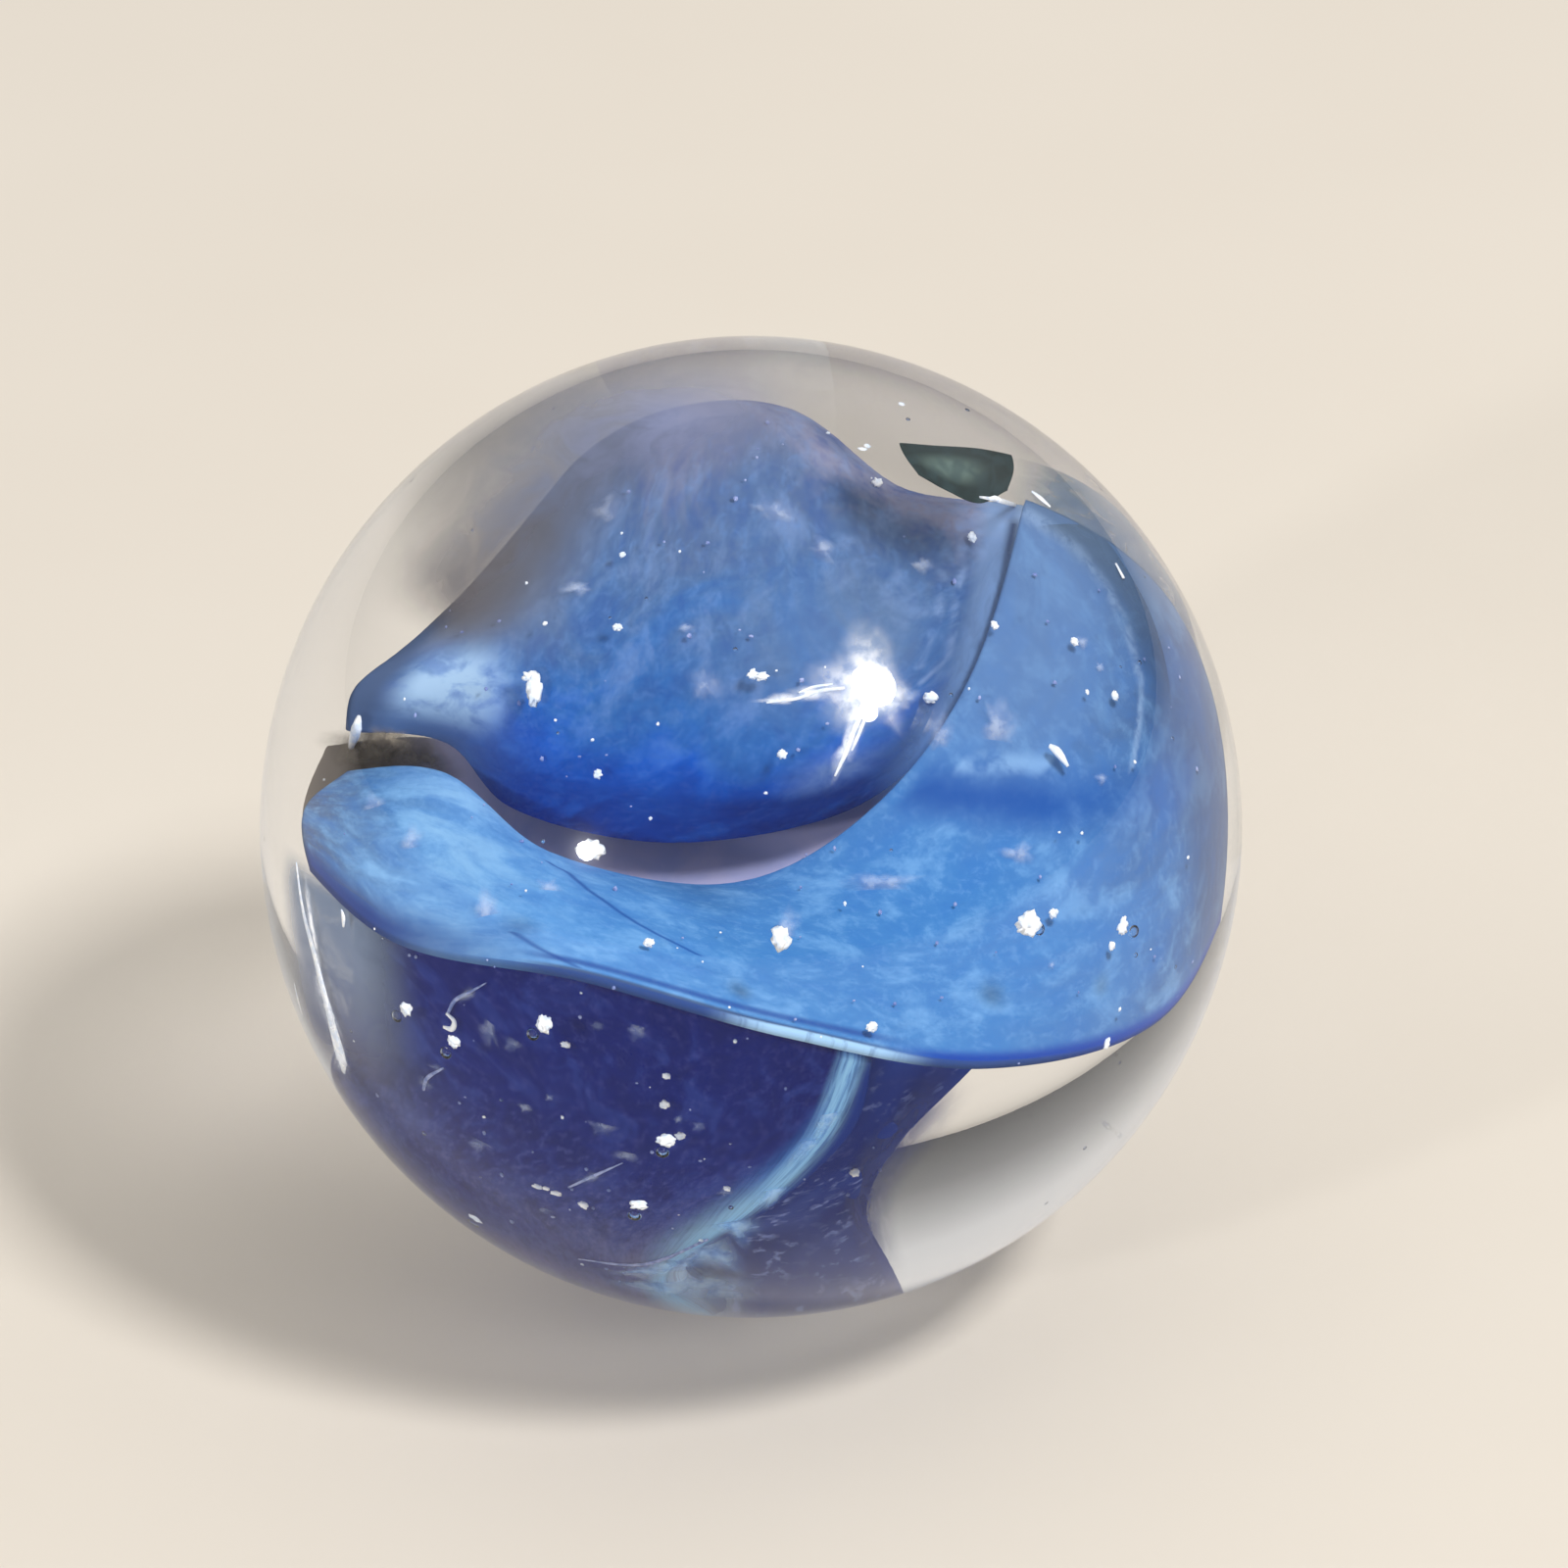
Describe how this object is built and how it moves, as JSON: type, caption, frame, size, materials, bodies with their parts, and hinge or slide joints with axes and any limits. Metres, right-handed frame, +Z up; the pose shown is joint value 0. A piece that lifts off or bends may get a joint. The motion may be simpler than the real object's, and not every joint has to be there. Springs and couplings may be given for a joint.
{
  "type": "glass marble",
  "caption": "Clear glass toy marble with curved vanes of light and dark blue glass swirled inside it and small seed bubbles.",
  "frame": {"origin": "centre of the ball", "axes": "+Z up, -Y towards the open side of the swirl, +X to the right of it"},
  "size_m": [0.016, 0.016, 0.016],
  "materials": {
    "clear_glass": "polished, clear",
    "deep_blue_glass": "coloured glass, hazy at its top",
    "light_blue_glass": "coloured glass, milky",
    "lavender_glass": "coloured glass, dull and smoky",
    "navy_glass": "coloured glass, dark",
    "mottled_blue_glass": "coloured glass, speckled"
  },
  "bodies": {
    "root": {"clear_glass": "clear_glass", "upper_vane": "deep_blue_glass", "front_vane": "light_blue_glass", "inner_vane": "lavender_glass", "lower_left_vane": "navy_glass", "lower_right_vane": "mottled_blue_glass"}
  },
  "joints": []
}
